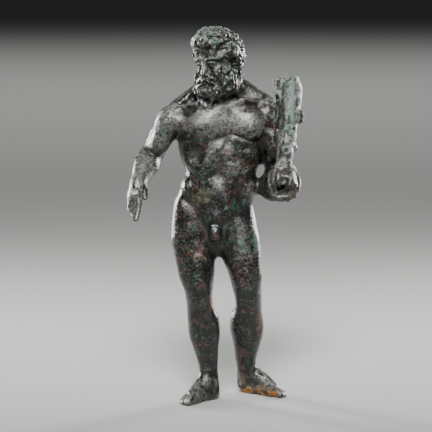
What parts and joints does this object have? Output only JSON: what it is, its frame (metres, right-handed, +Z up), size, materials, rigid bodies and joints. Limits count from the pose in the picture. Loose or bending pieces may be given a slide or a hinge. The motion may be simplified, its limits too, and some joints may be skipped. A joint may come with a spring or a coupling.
{
  "type": "roman bronze statuette",
  "caption": "Solid cast figure of a bearded nude man, standing, with a knotted club held in the raised fist and leaning back on the shoulder.",
  "frame": {"origin": "centre of the bounding box, on the plane of the soles", "axes": "+Z up through the head, -Y the way the chest faces, -X towards the figure's right hand"},
  "size_m": [0.0699, 0.0415, 0.1498],
  "materials": {
    "bronze": "dark brown to black glossy patina with green, red-brown and grey patches"
  },
  "bodies": {
    "root": {"statuette": "bronze"}
  },
  "joints": []
}
